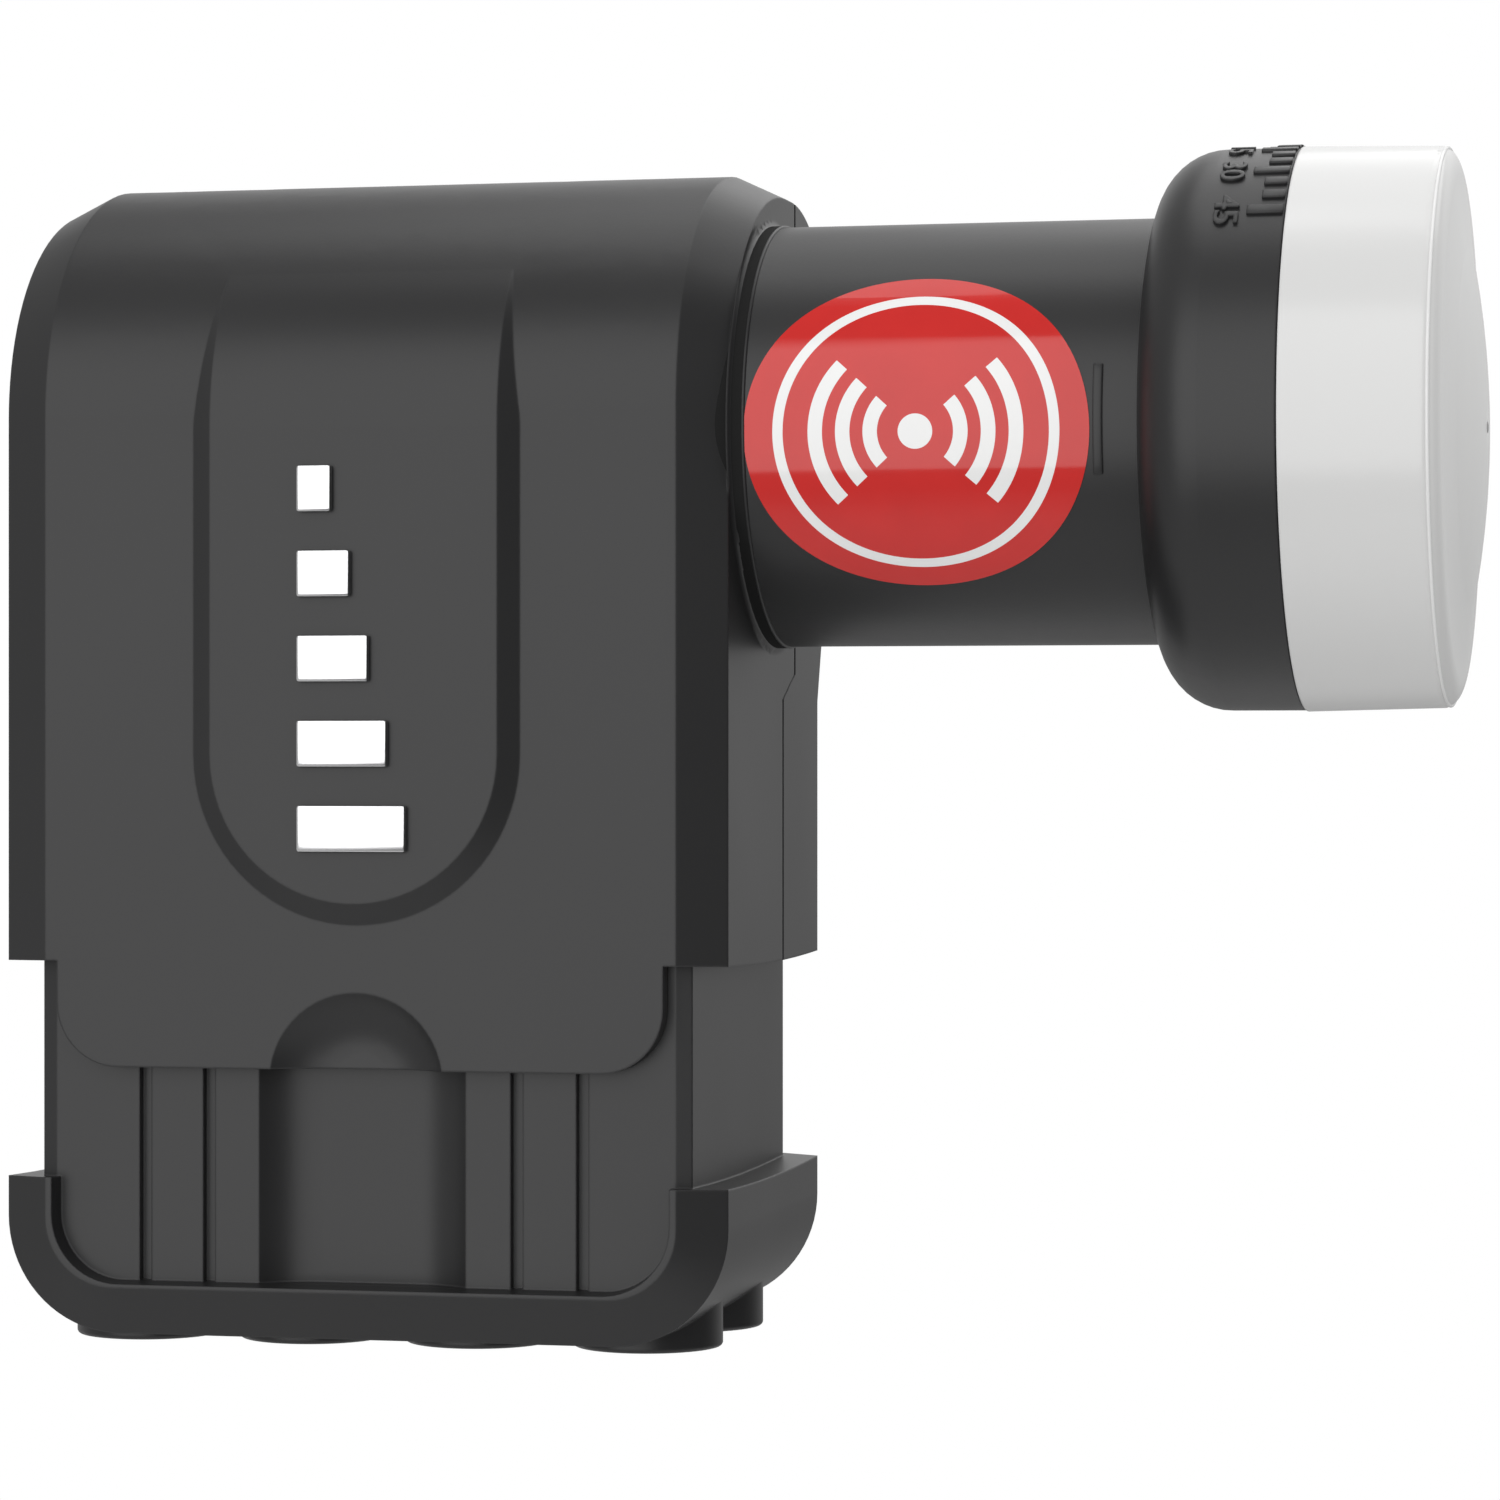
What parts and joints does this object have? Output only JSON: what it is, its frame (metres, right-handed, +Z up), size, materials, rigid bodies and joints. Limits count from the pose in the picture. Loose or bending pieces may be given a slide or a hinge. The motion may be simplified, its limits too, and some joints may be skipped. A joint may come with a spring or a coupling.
{
  "type": "satellite lnb",
  "caption": "Satellite LNB with an arched dark housing, round clamp neck, white feed cap and a weather cover that slides over its cable connectors.",
  "frame": {"origin": "on the feed axis, at the middle of the neck that the dish's clamp holds", "axes": "+X along the feed axis towards the dish, +Z up, -Y the marked front"},
  "size_m": [0.1378, 0.0526, 0.1124],
  "materials": {
    "shell_plastic": "satin",
    "cap_plastic": "satin",
    "cast_aluminium": "as cast",
    "lid_aluminium": "rolled",
    "seal_rubber": "matte",
    "board_laminate": "satin",
    "screw_steel": "plated",
    "brass": "bright",
    "connector_plating": "nickel plated",
    "insulator_plastic": "natural"
  },
  "bodies": {
    "housing": {"front_shell": "shell_plastic", "rear_shell": "shell_plastic", "feed_cap": "cap_plastic", "cap_seal": "seal_rubber", "feed_casting": "cast_aluminium", "front_lid": "lid_aluminium", "rear_lid": "lid_aluminium", "front_lid_seal": "seal_rubber", "rear_lid_seal": "seal_rubber", "front_board": "board_laminate", "rear_board": "board_laminate", "lid_screws": "screw_steel", "horizontal_probe": "brass", "vertical_probe": "brass", "isolation_pin": "brass", "horizontal_bead": "insulator_plastic", "vertical_bead": "insulator_plastic", "f_connector_1": "connector_plating", "connector_insulator_1": "insulator_plastic", "connector_contact_1": "brass", "f_connector_2": "connector_plating", "connector_insulator_2": "insulator_plastic", "connector_contact_2": "brass", "f_connector_3": "connector_plating", "connector_insulator_3": "insulator_plastic", "connector_contact_3": "brass", "f_connector_4": "connector_plating", "connector_insulator_4": "insulator_plastic", "connector_contact_4": "brass", "f_connector_5": "connector_plating", "connector_insulator_5": "insulator_plastic", "connector_contact_5": "brass", "f_connector_6": "connector_plating", "connector_insulator_6": "insulator_plastic", "connector_contact_6": "brass", "f_connector_7": "connector_plating", "connector_insulator_7": "insulator_plastic", "connector_contact_7": "brass", "f_connector_8": "connector_plating", "connector_insulator_8": "insulator_plastic", "connector_contact_8": "brass"},
    "cover": {"weather_cover": "shell_plastic"}
  },
  "joints": [
    {"name": "cover_slide", "type": "slide", "parent": "housing", "child": "cover", "axis": [0, 0, 1], "range_m": [0, 0.02]}
  ]
}
